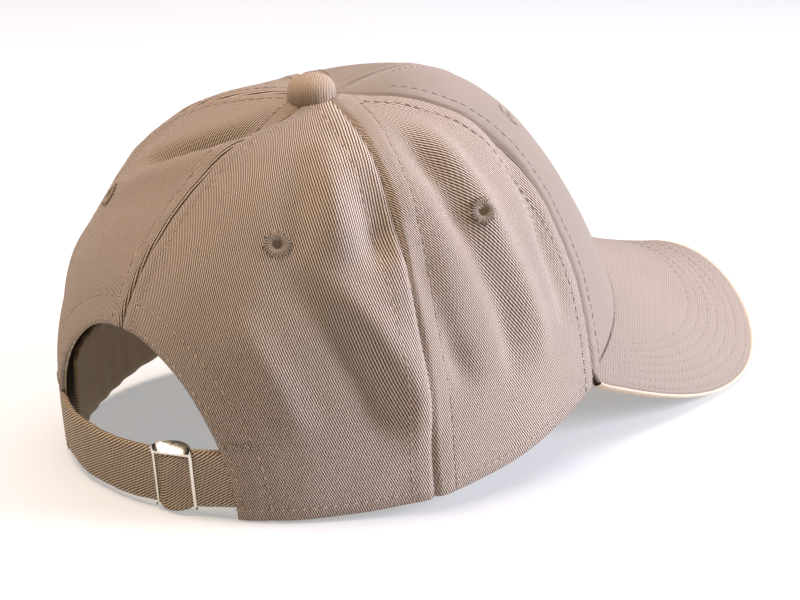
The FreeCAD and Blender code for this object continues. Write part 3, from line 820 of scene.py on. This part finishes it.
tapeCuts = {
    "front": (0.0115, 0.098, 0.00112), "back": (0.0107, 0.0914, 0.00097),
    "front_left": (0.0152, 0.131, 0.00198), "front_right": (0.0158, 0.136, 0.00213),
    "rear_left": (0.0146, 0.126, 0.00183), "rear_right": (0.016, 0.137, 0.00218),
}
tapeLook = dict(half=7 * mm, start=0.08, end=0.90, widest=24.0, thick=0.6 * mm)
for label, seam in seams.items():
    low = tapeLook["start"]
    if label == "back":
        low = float(climbAt(np.array(180.0), arch["rise"] + 11 * mm))
    inset = behindPanel + (0.7 * mm if label.startswith("front") else 0.0)

    def tapeAround(s, t, seam=seam, low=low):
        base = smoothForm(float(seam), low + (tapeLook["end"] - low) * t)
        reach = np.hypot(base[..., 0] - crown["lean"], base[..., 1] - crown["setback"])
        half = np.minimum(np.degrees(tapeLook["half"] / np.maximum(reach, mm)), tapeLook["widest"])
        return seam + (2 * s - 1) * half

    shape = stripShape(tapeAround, lambda s, t, low=low: low + (tapeLook["end"] - low) * t, inset)
    bm = gridPiece(8, 90, shape, lambda s, t: np.stack([s * 0.014, t * 0.12], -1), 0)
    finishPiece(bm, f"woven_tape_{label}", "cap", tape, [f"seam_tape_{label}"],
                cut=tapeCuts[label], thick=tapeLook["thick"])

buckramCuts = dict(left=(0.099, 0.155, 0.0092), right=(0.097, 0.1455, 0.0087))
for sideName, side in sides.items():
    shape = stripShape(lambda s, t: side * (0.6 + 61.8 * s), lambda s, t: 0.05 + 0.88 * t,
                       crown["cloth"] + 0.1 * mm)
    bm = gridPiece(50, 70, shape, panelWeave(0, 63, side), 0, flip=side < 0)
    finishPiece(bm, f"fused_buckram_{sideName}", "cap", backing, [f"buckram_{sideName}"],
                cut=buckramCuts[sideName], thick=0.5 * mm)

bandLook = dict(end=145.0, low=1.5 * mm, tall=30 * mm, inset=2.6 * mm, insetRear=5.6 * mm,
                stepFrom=95, stepLong=30, thick=1.0 * mm)


def bandShape(s, t):
    around = (2 * s - 1) * bandLook["end"]
    height = bandLook["low"] + (bandLook["tall"] - bandLook["low"]) * t
    past = np.abs(around) - bandLook["stepFrom"]
    share = np.clip(past / bandLook["stepLong"], 0, 1)
    share = share * share * (3 - 2 * share)
    climb = climbAt(around, height)
    inset = bandLook["inset"] + (bandLook["insetRear"] - bandLook["inset"]) * share
    out = outwardAt(smoothForm, around, climb)
    return smoothForm(around, climb) - out * (inset + 0.3 * mm * np.sin(around * 0.9))[..., None]


bm = gridPiece(220, 14, bandShape, lambda s, t: np.stack([s * 0.5, t * 0.03], -1), 40)
finishPiece(bm, "sweatband_cloth", "cap", band, ["sweatband"],
            cut=(0.0285, 0.4755, 0.01355), thick=bandLook["thick"])
print("inside ready")

# Strap and slide buckle.
strapLook = dict(wide=17.5 * mm, thick=1.4 * mm, half=49.0, columns=130, rows=14, edgeStitch=2.0 * mm)
buckleTurn = 20.4


def strapSpot(turn, up, lift):
    # turn in degrees from straight back towards -X, up 0 to 1 across the strap, lift outwards from its middle
    radius = level["strapRadius"] + level["strapThick"] / 2 + lift
    angle = np.radians(turn)
    return np.stack([
        -radius * np.sin(angle),
        strapAxis.y + radius * np.cos(angle),
        level["strapBottom"] + strapLook["wide"] * up,
    ], -1)


def strapWave(turn, up):
    return 0.30 * mm * np.sin(turn * 0.33 + 2 * up) + 0.12 * mm * np.sin(turn * 0.9 + 1.0)


def strapShape(s, t):
    turn = (2 * s - 1) * strapLook["half"]
    edge = np.minimum(t, 1 - t) * strapLook["wide"]
    dent = -0.2 * mm * np.exp(-((edge - strapLook["edgeStitch"]) / (0.6 * mm)) ** 2)
    roll = -0.45 * mm * np.clip(1 - edge / (1.2 * mm), 0, 1) ** 2
    return strapSpot(turn, t, strapLook["thick"] / 2 + dent + roll + strapWave(turn, t) * 0.5)


def strapWeave(s, t):
    return np.stack([s * 0.108, t * 0.0175], -1)


# The strap takes the browner shaded copy of the twill: painted shade.
bm = gridPiece(strapLook["columns"], strapLook["rows"], strapShape, strapWeave, 61, flip=True)
finishPiece(bm, "twill_strap", "cap", twillShade, ["strap"],
            cut=(0.0177, 0.1087, 0.0019), thick=strapLook["thick"])

bm = bmesh.new()
rowAt = strapLook["edgeStitch"] / strapLook["wide"]
for up in (rowAt, 1 - rowAt):
    turn = np.linspace(-47, 47, 120)
    share = (turn / strapLook["half"] + 1) / 2
    line = strapShape(share, np.full_like(turn, up))
    out = strapSpot(turn, np.full_like(turn, up), 1.0) - strapSpot(turn, np.full_like(turn, up), 0.0)
    addStitches(bm, line, out, wide=0.4 * mm)
finishPiece(bm, "topstitch_strap", "cap", thread)

# The buckle is drawn about the middle of the strap: X along it, Y outwards, Z up from its lower edge.
buckleLook = dict(long=13.2 * mm, chord=2.5 * mm, belly=-2.1 * mm, rail=0.75 * mm, gap=0.35 * mm,
                  crowned=0.75 * mm, thinBar=0.42 * mm, thickBar=0.66 * mm, middleBar=0.6 * mm)
toStrapMiddle = Matrix.Translation(strapAxis) @ Matrix.Rotation(math.radians(buckleTurn), 4, "Z")
toStrapMiddle = toStrapMiddle @ Matrix.Translation((0, level["strapRadius"] + level["strapThick"] / 2, 0))
half = buckleLook["long"] / 2
rise = buckleLook["chord"] - buckleLook["belly"]
railRadius = (half * half + rise * rise) / (2 * rise)
reachTurn = math.asin(half / railRadius)
bm = bmesh.new()
for low, way in ((-buckleLook["gap"] - buckleLook["rail"], -1), (strapLook["wide"] + 0.9 * mm, 1)):
    bmesh.ops.create_grid(bm, x_segments=24, y_segments=6, size=0.5)
    rail = [v for v in bm.verts if not v.tag]
    for vert in rail:
        turn = 2 * reachTurn * vert.co.x
        inner = buckleLook["belly"] + railRadius * (1 - math.cos(turn))
        share = vert.co.y + 0.5
        # The outer side of each rail is rolled over, so that its edge catches the light.
        drop = buckleLook["crowned"] * (share ** 2.5 + 1.4 * share) * (1 if way > 0 else 0.1)
        vert.co = (railRadius * math.sin(turn), inner + (buckleLook["chord"] - inner) * share,
                   low + (buckleLook["rail"] - drop if way > 0 else drop))
        vert.tag = True
    faces = [f for f in bm.faces if not f.tag]
    if way < 0:
        bmesh.ops.reverse_faces(bm, faces=faces)
    bmesh.ops.solidify(bm, geom=faces, thickness=buckleLook["rail"])
    for part in bm.verts[:] + bm.faces[:]:
        part.tag = True
tall = strapLook["wide"] + buckleLook["gap"] + 0.3 * mm
bars = (
    (half - buckleLook["thinBar"], buckleLook["chord"] - buckleLook["thinBar"], buckleLook["thinBar"]),
    (0, -level["strapThick"] / 2 - 0.1 * mm - buckleLook["middleBar"], buckleLook["middleBar"]),
    (-half + buckleLook["thickBar"], buckleLook["chord"] - buckleLook["thickBar"], buckleLook["thickBar"]),
)
for x, y, radius in bars:
    middle = Matrix.Translation((x, y, strapLook["wide"] / 2 - 0.4 * mm))
    bmesh.ops.create_cone(bm, cap_ends=True, segments=20, radius1=radius, radius2=radius, depth=tall, matrix=middle)
bmesh.ops.recalc_face_normals(bm, faces=bm.faces)
for edge in bm.edges:
    edge.smooth = edge.calc_face_angle(0) < 0.5
finishPiece(bm, "nickel_slide_buckle", "buckle", nickel, ["slide_buckle"], toRest @ toStrapMiddle)

# The strap's loop over the middle bar fills the buckle's window, bulging and hanging a little low.
windowLook = dict(half=5.7 * mm, hang=2.1 * mm, high=16.9 * mm, bulge=1.2 * mm, over=1.3 * mm, cloth=0.8 * mm)


def windowShape(s, t):
    x = (2 * s - 1) * windowLook["half"] * (1 + 0.12 * np.exp(-(t / 0.25) ** 2))
    across = 1 - (2 * s - 1) ** 2
    low = -0.1 * mm - windowLook["hang"] * (1 - np.exp((s - 1) / 0.10)) * s ** 0.6 * 1.15
    z = windowLook["high"] + (low - windowLook["high"]) * (1 - t)
    droop = np.exp(-(t / 0.2) ** 2)
    y = 1.5 * mm + windowLook["bulge"] * across + windowLook["over"] * droop * across ** 0.5
    y = y + 0.3 * mm * np.sin(7 * t + 5 * s) * across
    y = y - 0.9 * mm * np.exp(-((1 - t) / 0.05) ** 2) - 0.6 * mm * np.exp(-(t / 0.03) ** 2)
    return np.stack([x, y, z], -1)


bm = gridPiece(36, 48, windowShape, lambda s, t: np.stack([-s * 0.0112, t * 0.02], -1), 55, flip=True)
# The loop takes the browner shaded copy of the twill too: painted shade.
finishPiece(bm, "twill_strap_loop", "buckle", twillShade, (), toRest @ toStrapMiddle,
            cut=(0.0116, 0.0205, 0.00023), thick=windowLook["cloth"])

# The strap's end, folded back inside, travels with the buckle.
tailLook = dict(start=buckleTurn + 1.0, sweep=18.0, radius=level["strapRadius"] - 0.35 * mm, thick=1.2 * mm)


def tailShape(s, t):
    turn = tailLook["start"] + tailLook["sweep"] * s
    return strapSpot(turn, t, tailLook["radius"] - level["strapRadius"] - level["strapThick"] / 2)


bm = gridPiece(30, 12, tailShape, lambda s, t: np.stack([s * 0.02, t * 0.0175], -1), 55, flip=True)
finishPiece(bm, "twill_strap_tail", "buckle", twillInside, ["strap_return"],
            cut=(0.0173, 0.0198, 0.00034), thick=tailLook["thick"])

# Bar tacks: a short dense row of stitches across each end of the opening.
tackLook = dict(start=37.5 * mm, long=7 * mm, height=32.5 * mm, count=12)
for sideName, side in sides.items():
    bm = bmesh.new()
    x = side * (tackLook["start"] + tackLook["long"] * np.linspace(0, 1, tackLook["count"]))
    middle, around, climb = crownBehind(x, np.full_like(x, tackLook["height"]))
    out = outwardAt(smoothForm, around, climb)
    for i in range(tackLook["count"]):
        lean = 0.35 * mm * (1 if i % 2 else -1)
        ends = np.stack([middle[i] + [lean, 0, 0.95 * mm], middle[i] - [lean, 0, 0.95 * mm]])
        addStitches(bm, ends, np.stack([out[i], out[i]]), wide=0.55 * mm, long=1.8 * mm, gap=0.05 * mm)
    finishPiece(bm, f"sewn_bar_tack_{sideName}", "cap", eyeletThread, [f"bar_tack_{sideName}"])

# The rivet keeps its CAD shape and only gets a finish.
rivet = frame["nodes"]["button_rivet"].data
rivet.materials.clear()
rivet.materials.append(nickel)
print("strap ready")

# Floor, light and camera.
floorMaterial, floorTree, floorShader = startMaterial("white paper floor", Roughness=0.9)
floorShader.inputs["Base Color"].default_value = linear("#B4B2AF")
floorShader.inputs["Emission Color"].default_value = linear("#FFFFFF")
floorShader.inputs["Emission Strength"].default_value = 0.38
bm = bmesh.new()
bmesh.ops.create_circle(bm, cap_ends=True, segments=96, radius=6.0)
floorMesh = bpy.data.meshes.new("paper_floor")
bm.to_mesh(floorMesh)
bm.free()
floor = bpy.data.objects.new("paper_floor", floorMesh)
floorMesh.materials.append(floorMaterial)
scene.collection.objects.link(floor)

world = bpy.data.worlds.new("soft room")
world.use_nodes = True
scene.world = world
world.node_tree.nodes["Background"].inputs["Color"].default_value = linear("#FFE3C6")
world.node_tree.nodes["Background"].inputs["Strength"].default_value = 0.04


def bearing(azimuth, elevation):
    turn, rise = math.radians(azimuth), math.radians(elevation)
    return Vector((math.sin(turn) * math.cos(rise), -math.cos(turn) * math.cos(rise), math.sin(rise)))


lights = {
    "overhead": dict(azimuth=15, elevation=68, distance=1.6, size=1.2, power=15, colour="#D2E2FF"),
    "top": dict(azimuth=230, elevation=84, distance=1.6, size=1.4, power=8, colour="#FFE9D6"),
    "side": dict(azimuth=314, elevation=18, distance=1.6, size=0.9, power=63, colour="#DCE4FF"),
    "left": dict(azimuth=150, elevation=66, distance=1.6, size=0.9, power=25, colour="#FFEBD8"),
}
for name, facts in lights.items():
    lamp = bpy.data.lights.new(name, "AREA")
    lamp.shape = "DISK"
    lamp.size = facts["size"]
    lamp.energy = facts["power"]
    lamp.color = linear(facts["colour"])[:3]
    holder = bpy.data.objects.new(name, lamp)
    away = bearing(facts["azimuth"], facts["elevation"])
    holder.location = away * facts["distance"]
    holder.rotation_euler = away.to_track_quat("Z", "Y").to_euler()
    scene.collection.objects.link(holder)

scene.view_settings.view_transform = "Standard"

shot = dict(azimuth=220.924, elevation=16.211, roll=2.999, distance=0.766934, lens=101.19,
            aim=(0, -0.031614, 0.031804))
roll = math.radians(shot["roll"])
away = bearing(shot["azimuth"], shot["elevation"])
right = (-away).cross(Vector((0, 0, 1))).normalized()
above = right.cross(-away)
rolledRight = right * math.cos(roll) + above * math.sin(roll)
rolledUp = above * math.cos(roll) - right * math.sin(roll)
lens = bpy.data.cameras.new("view")
lens.lens = shot["lens"]
lens.sensor_width = 36
camera = bpy.data.objects.new("view", lens)
place = Matrix((rolledRight, rolledUp, away)).transposed().to_4x4()
place.translation = origin + Vector(shot["aim"]) + away * shot["distance"]
camera.matrix_world = place
scene.collection.objects.link(camera)
scene.camera = camera
